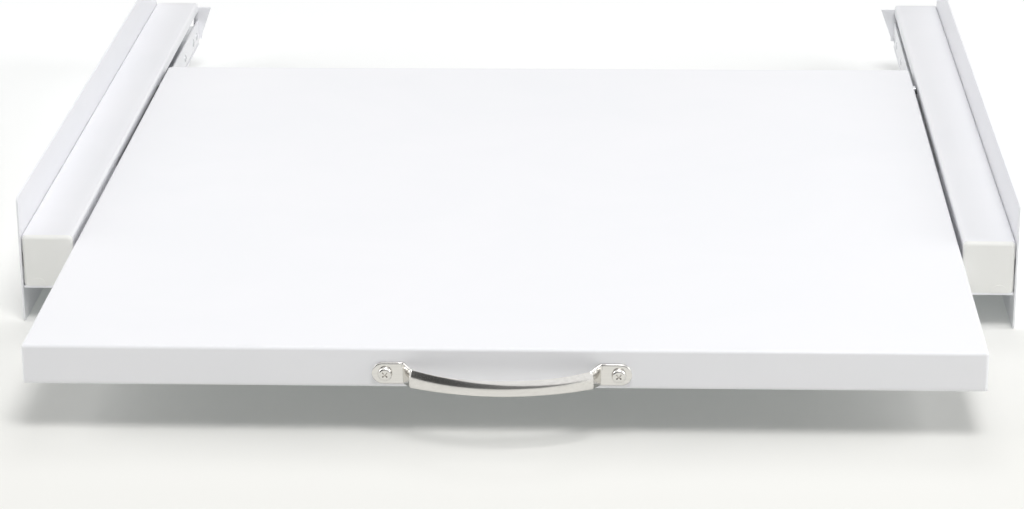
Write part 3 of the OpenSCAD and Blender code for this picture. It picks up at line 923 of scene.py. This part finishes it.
@dataclass
class BowHandle:
    """The bent strap handle with its two flat tabs, swept from end to end in one go."""

    pitch: float = 128.0
    strap_t: float = 2.0
    waist_h: float = 8.6
    bow_end_h: float = 10.2
    tab_in: float = 11.5
    leg_foot_in: float = 10.3
    leg_top_in: float = 13.9
    bow_out: float = 24.5
    bow_end_out: float = 9.3
    sagitta: float = 0.75
    crest: float = 0.5
    squareness: float = 5.0
    section_points: int = 36
    tab_bend_r: float = 1.7
    tab_bend_steps: int = 8
    bow_bend_r: float = 2.6
    bow_bend_steps: int = 10
    bow_bend_turn: float = 0.06
    bow_steps: int = 28
    tip_steps: int = 9
    tip_short: float = 0.02
    leg_taper: float = 1.5
    bow_taper: float = 3.0
    hole_r: float = 2.16
    hole_steps: int = 32

    def build(self, bench: Workbench) -> None:
        """Makes the handle.

        Args:
            bench: Finishes the piece.
        """
        box = bench.box("handle_bow")
        self.face_y = box.high.y
        self.middle_z = box.middle.z
        self.tab_h = box.size.z
        self.end_x = box.high.x
        shape = bmesh.new()
        ring = self._section(shape)
        local = [(v.co.x, v.co.y) for v in ring]
        edges = linked(ring, "link_edges")
        first, *rest = self._stations()
        self._place(ring, local, first)
        for station in rest:
            grown = bmesh.ops.extrude_edge_only(shape, edges=edges)["geom"]
            edges = [g for g in grown if isinstance(g, BMEdge)]
            fresh = {g for g in grown if isinstance(g, BMVert)}
            beside = [[e.other_vert(v) for e in v.link_edges] for v in ring]
            ring = [next(v for v in others if v in fresh) for others in beside]
            self._place(ring, local, station)
        close_holes(shape)
        bmesh.ops.recalc_face_normals(shape, faces=shape.faces)
        shape = cut_away(shape, self._hole_cutter())
        bench.hand_over(shape, "handle_strap", "handle_bow", smooth=50.0)

    def _section(self, shape: BMesh) -> list[BMVert]:
        """Lays the strap's section: a flat back, eased corners and a slightly full front.

        Args:
            shape: Takes the ring.

        Returns:
            The ring's vertices in order, with X across the height and Y through the thickness.
        """
        count = self.section_points // 2
        ring = bmesh.ops.create_circle(shape, segments=2 * count, radius=1.0)["verts"]
        for k, vert in enumerate(ring):
            turn = math.pi * (k + 0.5) / count
            across = math.cos(turn)
            deep = (1.0 - abs(across) ** self.squareness) ** (1.0 / self.squareness)
            vert.co = Vector((across, math.copysign(deep, math.sin(turn)), 0.0))
        return ring

    def _path(self) -> list[Vector]:
        """Middle line of the strap's right half, from the tab's end to the bow's middle.
        """
        half = self.strap_t / 2
        end_x = self.pitch / 2 - self.tab_in
        rise = self.bow_out - self.bow_end_out
        outer_r = (end_x ** 2 + rise ** 2) / (2 * rise)
        mid_r = outer_r - half
        centre_y = self.bow_out - outer_r
        foot_x = self.pitch / 2 - self.leg_foot_in
        widest = math.asin((self.pitch / 2 - self.leg_top_in) / outer_r)
        start = widest - self.bow_bend_turn
        angles = [widest] + [start * (1 - k / self.bow_steps) for k in range(self.bow_steps + 1)]
        corner, *bow = [Vector((mid_r * math.sin(a), centre_y + mid_r * math.cos(a))) for a in angles]
        tab, foot = Vector((foot_x + 2 * self.tab_bend_r, half)), Vector((foot_x, half))
        return [
            tab,
            *self._bend(tab, foot, corner, self.tab_bend_r, self.tab_bend_steps),
            *self._bend(foot, corner, bow[0], self.bow_bend_r, self.bow_bend_steps),
            *bow,
        ]

    @staticmethod
    def _bend(before: Vector, corner: Vector, after: Vector, radius: float, steps: int) -> list[Vector]:
        """Rounds one corner of a path.

        Args:
            before: A point before it.
            corner: The corner.
            after: A point past it.
            radius: Radius of the path's bend.
            steps: Steps round the bend.

        Returns:
            Points round the bend.
        """
        coming, going = (corner - before).normalized(), (after - corner).normalized()
        turn = coming.angle_signed(going)
        start = corner - coming * (radius * math.tan(abs(turn) / 2))
        side = Vector((coming.y, -coming.x)) * math.copysign(1.0, turn)
        centre = start + side * radius
        points = []
        for k in range(steps + 1):
            arm = start - centre
            arm.rotate(Matrix.Rotation(-turn * k / steps, 2))
            points.append(centre + arm)
        return points

    def _stations(self) -> list[tuple[Vector, Vector, float, float]]:
        """Places of the section along the whole strap.

        Returns:
            Middle point, direction, height and flatness of each place.
        """
        end_r = self.tab_h / 2
        mid_y = self.strap_t / 2
        turns = [math.pi / 2 * k / self.tip_steps for k in range(self.tip_steps + 1)]
        tip = [Vector((self.end_x - end_r + end_r * math.cos(a), mid_y)) for a in turns]
        tip[0].x -= self.tip_short
        half = tip + self._path()
        path = half + [Vector((-p.x, p.y)) for p in reversed(half[:-1])]
        stations = []
        for k, point in enumerate(path):
            ahead = path[min(k + 1, len(path) - 1)] - path[max(k - 1, 0)]
            past_end = abs(point.x) - (self.end_x - end_r)
            if past_end > 0:
                height = 2 * math.sqrt(max(end_r ** 2 - past_end ** 2, 0.0))
            else:
                height = self._height(abs(point.x))
            on_tab = point.y <= mid_y + CLEAR
            flat = 1.0 if on_tab else max(0.0, 1.0 - point.y / self.bow_end_out)
            stations.append((point, ahead.normalized(), height, flat))
        return stations

    def _height(self, x: float) -> float:
        """The strap's height: the tabs' at the legs' feet, less along the bow, least at its middle.

        Args:
            x: Distance from the bow's middle.

        Returns:
            The height in millimetres.
        """
        foot_x = self.pitch / 2 - self.leg_foot_in
        top_x = self.pitch / 2 - self.leg_top_in
        if x > top_x:
            share = min((x - top_x) / (foot_x - top_x), 1.0)
            return self.bow_end_h + (self.tab_h - self.bow_end_h) * share ** self.leg_taper
        return self.waist_h + (self.bow_end_h - self.waist_h) * (x / top_x) ** self.bow_taper

    def _place(self, ring: list[BMVert], local: list[Pair],
               station: tuple[Vector, Vector, float, float]) -> None:
        """Puts a ring of the section at one place of the strap.

        Args:
            ring: The ring's vertices, in order.
            local: The section's own coordinates, from -1 to 1 each way.
            station: Middle point, direction, height and flatness.
        """
        point, ahead, height, flat = station
        outward = Vector((ahead.y, -ahead.x))
        for vert, (across, deep) in zip(ring, local):
            slack = self.sagitta * (1.0 - flat) * (across + self.crest) ** 2
            through = (self.strap_t - slack) * (deep + 1.0) / 2 - self.strap_t / 2
            place = point + outward * through
            vert.co = Vector((place.x, self.face_y - place.y, self.middle_z + across * height / 2))

    def _hole_cutter(self) -> BMesh:
        """The two round bars that make the screw holes.

        Returns:
            The bars.
        """
        cutter = bmesh.new()
        for side in Side:
            place = Vector((side.value * self.pitch / 2, self.face_y - self.strap_t / 2, self.middle_z))
            placing = Matrix.Translation(place) @ Matrix.Rotation(math.pi / 2, 4, "X")
            bmesh.ops.create_cone(cutter, cap_ends=True, segments=self.hole_steps,
                                  radius1=self.hole_r, radius2=self.hole_r,
                                  depth=3 * self.strap_t, matrix=placing)
        return cutter


@dataclass
class HandleScrews:
    """The two pan-head screws, with a tapered cross recess."""

    head_r: float = 4.0
    head_h: float = 2.6
    head_steps: int = 10
    rim_h: float = 1.1
    rim_ease: float = 0.12
    flat_r: float = 2.3
    shank_r: float = 1.96
    end_ease: float = 0.5
    recess_depth: float = 1.3
    recess_proud: float = 0.6
    recess_top: Pair = (4.3, 0.95)
    recess_foot: Pair = (2.8, 0.5)
    recess_turns: tuple[float, ...] = (45.0, 135.0)

    def build(self, bench: Workbench) -> None:
        """Makes both screws as one piece.

        Args:
            bench: Finishes the piece.
        """
        shape = bmesh.new()
        cutters = [bmesh.new() for _ in self.recess_turns]
        for box in bench.solids("handle_screws"):
            head = Vector((box.middle.x, box.low.y + self.head_h, box.middle.z))
            outward = Matrix.Translation(head) @ Matrix.Rotation(-math.pi / 2, 4, "Z")
            turn_profile(shape, self._profile(box.high.y - head.y), outward)
            for cutter, turn in zip(cutters, self.recess_turns):
                self._recess_arm(cutter, outward, turn)
        for cutter in cutters:
            shape = cut_away(shape, cutter)
        bench.hand_over(shape, "handle_pan_screws", "handle_screws", smooth=35.0)

    def _profile(self, length: float) -> Profile:
        """Profile of a screw, from the middle of its head to its end.

        Args:
            length: Length under the head.

        Returns:
            The profile, with 0 under the head.
        """
        dome = quarter(self.head_r - self.flat_r, self.head_h - self.rim_h, self.head_steps)
        return [
            (self.head_h, 0.0),
            *((self.rim_h + h, self.flat_r + r) for h, r in dome),
            (self.rim_ease, self.head_r),
            (0.0, self.head_r - self.rim_ease),
            (0.0, self.shank_r),
            (self.end_ease - length, self.shank_r),
            (-length, self.shank_r - self.end_ease),
            (-length, 0.0),
        ]

    def _recess_arm(self, cutter: BMesh, outward: Matrix, turn: float) -> None:
        """Adds one tapered bar of the cross.

        Args:
            cutter: Takes the bar.
            outward: The head's placing, with X out of the head.
            turn: Degrees about the screw's axis.
        """
        bar = bmesh.ops.create_cube(cutter, size=1.0)["verts"]
        for vert in bar:
            if vert.co.x > 0:
                level, (length, width) = self.head_h + self.recess_proud, self.recess_top
            else:
                level, (length, width) = self.head_h - self.recess_depth, self.recess_foot
            vert.co = Vector((level, vert.co.y * length, vert.co.z * width))
        spin = Matrix.Rotation(math.radians(turn), 4, "X")
        bmesh.ops.transform(cutter, matrix=outward @ spin, verts=bar)


@dataclass
class Rollers:
    """The four nylon rollers, with rounded treads and a recess in each face."""

    bore_r: float = 2.05
    bore_ease: float = 0.15
    hub_r: float = 3.3
    tread_round: float = 0.7
    round_steps: int = 5
    face_recess: float = 0.6
    recess_slope: float = 0.3
    rim_t: float = 1.5
    turn_steps: int = 64

    def build(self, bench: Workbench) -> None:
        """Makes the rollers.

        Args:
            bench: Finishes the pieces.
        """
        for node in (f"{side.word}_{end}_roller" for side in Side for end in ("front", "rear")):
            box = bench.box(node)
            shape = bmesh.new()
            turn_profile(shape, self._profile(box.size.z / 2, box.size.x / 2),
                         Matrix.Translation(box.middle), closed=True, steps=self.turn_steps)
            bench.hand_over(shape, f"{node}_turned", node, smooth=50.0)

    def _profile(self, radius: float, half_w: float) -> Profile:
        """Half of the roller's section, mirrored to a ring.

        Args:
            radius: Radius of the tread.
            half_w: Half of the roller's width.

        Returns:
            The profile.
        """
        web = half_w - self.face_recess
        rim_r = radius - self.rim_t
        bore_w = half_w - self.bore_ease
        tread = quarter(self.tread_round, self.tread_round, self.round_steps)
        half = [
            (half_w, self.bore_r + self.bore_ease),
            (half_w, self.hub_r),
            (web, self.hub_r + self.recess_slope),
            (web, rim_r - self.recess_slope),
            (half_w, rim_r),
            *((half_w - self.tread_round + w, radius - self.tread_round + r) for w, r in tread),
        ]
        return [(-bore_w, self.bore_r), (bore_w, self.bore_r), *half,
                *((-along, r) for along, r in reversed(half))]


@dataclass
class Axles:
    ease: float = 0.2
    ease_steps: int = 2
    sharp_turn: float = 60.0
    front_steps: tuple[Pair, ...] = ((0.8, 4.0), (1.2, 2.0), (1.2, 4.0), (6.7, 2.0), (0.8, 4.0))
    rear_steps: tuple[Pair, ...] = ((0.8, 4.0), (1.2, 2.0), (5.7, 3.0), (6.7, 2.0), (0.8, 4.0))

    def build(self, bench: Workbench) -> None:
        """Makes the axles.

        Args:
            bench: Finishes the pieces.
        """
        least = math.radians(self.sharp_turn)
        for side in Side:
            for end, steps in (("front", self.front_steps), ("rear", self.rear_steps)):
                node = f"{side.word}_{end}_axle"
                box = bench.box(node)
                inner_x = box.low.x if side is Side.RIGHT else box.high.x
                start = Vector((inner_x, box.middle.y, box.middle.z))
                shape = bmesh.new()
                turn_profile(shape, self._profile(steps), facing(start, side))
                sharp = [e for e in shape.edges if e.is_manifold and e.calc_face_angle() > least]
                round_over(shape, sharp, self.ease, self.ease_steps)
                bench.hand_over(shape, f"{node}_turned", node)

    @staticmethod
    def _profile(steps: Sequence[Pair]) -> Profile:
        """Profile of a stepped bar.

        Args:
            steps: Length and radius of each step.

        Returns:
            The profile.
        """
        along = 0.0
        profile = [(0.0, 0.0)]
        for length, radius in steps:
            profile += [(along, radius), (along + length, radius)]
            along += length
        return profile + [(along, 0.0)]


class HeadSide(Enum):
    OUTWARD = 1
    INWARD = -1


@dataclass
class Rivets:
    """The rivets, each with a domed head and the small dimple that its mandrel leaves."""

    shank_r: float = 1.6
    head_h: float = 0.8
    head_steps: int = 7
    dimple_r: float = 0.85
    dimple_depth: float = 0.35
    dimple_slope: float = 0.1
    dimple_rim: float = 0.2
    crown_drop: float = 0.03
    turn_steps: int = 32
    groups: tuple[tuple[str, HeadSide], ...] = (
        ("plate_rivets", HeadSide.OUTWARD), ("shelf_rivets", HeadSide.OUTWARD),
        ("runner_rivets", HeadSide.INWARD), ("tie_rivets", HeadSide.INWARD),
        ("stop_rivets", HeadSide.INWARD))

    def build(self, bench: Workbench) -> None:
        """Makes each group of rivets as one piece.

        Args:
            bench: Finishes the pieces.
        """
        for node, heads in self.groups:
            shape = bmesh.new()
            for box in bench.solids(node):
                way = Side(heads.value * (1 if box.middle.x > 0 else -1))
                head_x = box.high.x - self.head_h if way is Side.RIGHT else box.low.x + self.head_h
                profile = self._profile(box.size.z / 2, box.size.x - self.head_h)
                place = Vector((head_x, box.middle.y, box.middle.z))
                turn_profile(shape, profile, facing(place, way), steps=self.turn_steps)
            bench.hand_over(shape, f"{node}_domed", node)

    def _profile(self, head_r: float, length: float) -> Profile:
        """Profile of a rivet, from the dimple in its head to its shank's end.

        Args:
            head_r: Radius of the head.
            length: Length of the shank.

        Returns:
            The profile, with 0 under the head.
        """
        dome = quarter(head_r, self.head_h, self.head_steps)
        floor = self.head_h - self.dimple_depth
        return [
            (floor, 0.0),
            (floor, self.dimple_r),
            (self.head_h - self.crown_drop, self.dimple_r + self.dimple_slope),
            *(p for p in dome if p[1] > self.dimple_r + self.dimple_rim),
            (0.0, self.shank_r),
            (-length, self.shank_r),
            (-length, 0.0),
        ]


@dataclass(frozen=True)
class Lamp:
    """A rectangular lamp: its power in watts, its size and place in metres and its target."""

    name: str
    power: float
    size: Pair
    place: Triple
    target: Triple

    def hang(self) -> None:
        """Hangs the lamp and points it at its target."""
        data = bpy.data.lights.new(self.name, "AREA")
        data.shape = "RECTANGLE"
        data.size, data.size_y = self.size
        data.energy = self.power
        lamp = put_in_scene(self.name, data)
        lamp.location = self.place
        aim = Vector(self.target) - Vector(self.place)
        lamp.rotation_euler = aim.to_track_quat("-Z", "Y").to_euler()


@dataclass
class Studio:
    """The table, the sky, the lamps and a dark screen for reflections."""

    floor_size: float = 14.0
    floor_colour: Triple = (0.775, 0.765, 0.738)
    floor_glow: Triple = (0.93, 1.0, 0.97)
    floor_glow_strength: float = 0.105
    far_colour: Triple = (0.95, 0.95, 0.95)
    far_glow_strength: float = 0.132
    near_middle: Triple = (0.0, -0.9, 0.0)
    near_size: Triple = (1.1, 1.0, 1.0)
    near_edge: Pair = (0.6, 1.4)
    horizon_edge: Pair = (1.9, 4.5)
    horizon_glow: float = 0.85
    sky: float = 0.22
    lamps: tuple[Lamp, ...] = (
        Lamp("key_lamp", 56.0, (1.2, 1.2), (0.5, -1.6, 3.2), (0.0, -0.3, 0.0)),
        Lamp("right_lamp", 18.0, (1.2, 1.0), (1.9, -0.4, 1.0), (0.0, -0.1, 0.0)),
        Lamp("left_lamp", 15.5, (1.2, 1.0), (-1.9, -0.2, 1.0), (0.0, 0.0, 0.0)),
        Lamp("back_lamp", 12.0, (1.4, 1.0), (0.1, 1.5, 2.4), (0.0, 0.1, 0.0)),
    )
    screen_middle: Triple = (0.0, -0.37, 0.0)
    screen_r: float = 2.6
    screen_h: float = 0.9
    screen_slope: float = 0.4
    screen_turn: Pair = (-66.0, 60.0)
    screen_foot: float = 0.004
    screen_steps: int = 32
    screen_tones: Pair = (0.07, 0.2)
    screen_grade: Pair = (-1.6, 0.1)

    def build(self) -> None:
        """Makes the table, the sky, the dark screen and the lamps."""
        self._floor()
        self._world()
        self._screen()
        for lamp in self.lamps:
            lamp.hang()

    @staticmethod
    def _on_stage(shape: BMesh, name: str) -> tuple[Object, NodeBoard, Node]:
        """Makes a stage object with a material of its own.

        Args:
            shape: The object's shape in metres, which is freed.
            name: The object's name.

        Returns:
            The object, its material's board and the principled shader.
        """
        item = object_of(shape, name)
        material = bpy.data.materials.new(f"{name}_surface")
        material.use_nodes = True
        item.data.materials.append(material)
        return item, NodeBoard(material.node_tree), material.node_tree.nodes["Principled BSDF"]

    def _floor(self) -> None:
        # Painted light: the floor glows though it is no lamp, and its emission lifts the shade under the
        # kit. Its colour is darker near near_middle and paler farther away, where its glow is also
        # stronger. The glow rises again towards the horizon, so that the far floor fades into the white
        # sky.
        shape = bmesh.new()
        bmesh.ops.create_grid(shape, x_segments=1, y_segments=1, size=self.floor_size / 2)
        _, board, shader = self._on_stage(shape, "pale_table")
        coords = board.add("ShaderNodeTexCoord").outputs["Object"]
        placed = board.add("ShaderNodeMapping", vector_type="TEXTURE")
        board.feed(placed, Vector=coords, Location=self.near_middle, Scale=self.near_size)
        length = board.add("ShaderNodeVectorMath", operation="LENGTH")
        board.give(length.inputs[0], placed.outputs["Vector"])
        away = length.outputs["Value"]
        mask = board.spread(away, 0.0, 1.0, *self.near_edge)
        glow = board.spread(mask, self.floor_glow_strength, self.far_glow_strength, 0.0, 1.0)
        horizon = board.spread(away, 0.0, self.horizon_glow, *self.horizon_edge)
        board.feed(shader, Base_Color=board.mix(mask, self.floor_colour, self.far_colour),
                   Roughness=0.8, Specular_IOR_Level=0.0, Emission_Color=(*self.floor_glow, 1.0),
                   Emission_Strength=board.calc("ADD", glow, horizon))

    def _screen(self) -> None:
        # Painted reflection: a dark sheet that only glossy rays meet, since no camera ray, diffuse light or
        # shadow sees it. It puts a dark reflected band in the handle's face, and it is taller to the left.
        shape = bmesh.new()
        tall = self.screen_h + self.screen_slope * self.screen_r
        line = [shape.verts.new((0.0, -self.screen_r, height)) for height in (self.screen_foot, tall)]
        edge = shape.edges.new(line)
        first, last = (math.radians(a) for a in self.screen_turn)
        bmesh.ops.rotate(shape, cent=(0.0, 0.0, 0.0), matrix=Matrix.Rotation(first, 3, "Z"), verts=line)
        bmesh.ops.spin(shape, geom=[*line, edge], cent=(0.0, 0.0, 0.0), axis=(0.0, 0.0, 1.0),
                       angle=last - first, steps=self.screen_steps)
        bmesh.ops.bisect_plane(shape, geom=[*shape.verts, *shape.edges, *shape.faces],
                               plane_co=(0.0, 0.0, self.screen_h),
                               plane_no=(self.screen_slope, 0.0, 1.0), clear_outer=True)
        bmesh.ops.translate(shape, vec=self.screen_middle, verts=shape.verts)
        screen, board, shader = self._on_stage(shape, "dark_screen")
        coords = board.add("ShaderNodeTexCoord").outputs["Object"]
        apart = board.feed(board.add("ShaderNodeSeparateXYZ"), Vector=coords)
        # Painted reflection: the screen's tone is darker to the left and paler to the right, so the band
        # that it reflects is darker on the left.
        mask = board.spread(apart.outputs["X"], 0.0, 1.0, *self.screen_grade)
        left, right = ((tone,) * 3 for tone in self.screen_tones)
        board.feed(shader, Base_Color=board.mix(mask, left, right), Roughness=0.9)
        screen.visible_camera = False
        screen.visible_diffuse = False
        screen.visible_shadow = False

    def _world(self) -> None:
        """Sets a soft sky that is white to the camera and in reflections."""
        world = bpy.data.worlds.new("studio")
        bpy.context.scene.world = world
        world.use_nodes = True
        board = NodeBoard(world.node_tree)
        light, shown = world.node_tree.nodes["Background"], board.add("ShaderNodeBackground")
        board.feed(light, Color=(1.0, 1.0, 1.0, 1.0), Strength=self.sky)
        board.feed(shown, Color=(1.0, 1.0, 1.0, 1.0), Strength=1.0)
        path = board.add("ShaderNodeLightPath")
        seen = path.outputs["Is Camera Ray"]
        for ray in ("Is Glossy Ray", "Is Transmission Ray"):
            seen = board.calc("MAXIMUM", seen, path.outputs[ray])
        both = board.add("ShaderNodeMixShader")
        for socket, source in zip(both.inputs, (seen, light.outputs[0], shown.outputs[0])):
            board.give(socket, source)
        board.feed(world.node_tree.nodes["World Output"], Surface=both.outputs[0])


@dataclass
class PhotoCamera:
    """The camera, where the photograph was taken from."""

    place: Triple = (0.0765, -1.8837, 0.6627)
    heading: float = 2.621
    dip: float = 19.811
    roll: float = -0.483
    focal_px: float = 3034.6
    image_px: int = 1024
    sensor_mm: float = 36.0

    def build(self) -> None:
        """Makes the camera and looks through it."""
        data = bpy.data.cameras.new("photo_camera")
        data.sensor_width = self.sensor_mm
        data.lens = self.focal_px / self.image_px * self.sensor_mm
        camera = put_in_scene("photo_camera", data)
        placing = Matrix.Translation(self.place)
        for degrees, axis in ((self.heading, "Z"), (90.0 - self.dip, "X"), (self.roll, "Z")):
            placing @= Matrix.Rotation(math.radians(degrees), 4, axis)
        camera.matrix_world = placing
        bpy.context.scene.camera = camera


def main() -> None:
    logging.basicConfig(level=logging.INFO, format="%(name)s: %(message)s")
    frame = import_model()
    bpy.context.scene.view_settings.view_transform = "Standard"
    PhotoCamera().build()
    Studio().build()
    bench = Workbench(frame)
    bench.dress_nodes()
    for assembly in (FoldedSheets(), FrontCaps(), BowHandle(), HandleScrews(), Rollers(),
                     Axles(), Rivets()):
        log.info("building %s", type(assembly).__name__)
        assembly.build(bench)


if __name__ == "__main__":
    main()
